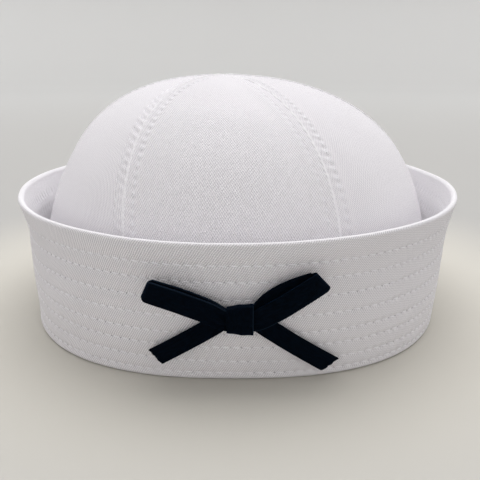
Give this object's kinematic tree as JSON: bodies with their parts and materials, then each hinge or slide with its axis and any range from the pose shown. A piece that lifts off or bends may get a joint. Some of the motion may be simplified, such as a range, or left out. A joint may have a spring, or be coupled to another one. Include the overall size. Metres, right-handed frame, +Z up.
{
  "type": "sailor cap",
  "caption": "Soft cotton sailor cap with a gored dome crown, a stitched turned-up brim and a small velvet bow at the front; free-standing, rests on its base fold.",
  "frame": {"origin": "middle of the base fold, on the surface that the cap rests on", "axes": "+Z up; the front of the cap, with the bow, faces -Y; +X is the wearer's left, the viewer's right"},
  "size_m": [0.194, 0.2135, 0.0979],
  "materials": {
    "cotton_twill": "white bleached cotton twill, matt, with fine diagonal wales and white lockstitch rows",
    "black_velvet": "black velvet ribbon, short pile, very dark with a faint blue sheen at the edges"
  },
  "bodies": {
    "root": {"brim": "cotton_twill", "crown_gore_front": "cotton_twill", "crown_gore_front_left": "cotton_twill", "crown_gore_back_left": "cotton_twill", "crown_gore_back": "cotton_twill", "crown_gore_back_right": "cotton_twill", "crown_gore_front_right": "cotton_twill", "bow_loop_left": "black_velvet", "bow_loop_right": "black_velvet", "bow_tail_left": "black_velvet", "bow_tail_right": "black_velvet", "bow_knot": "black_velvet"}
  },
  "joints": []
}
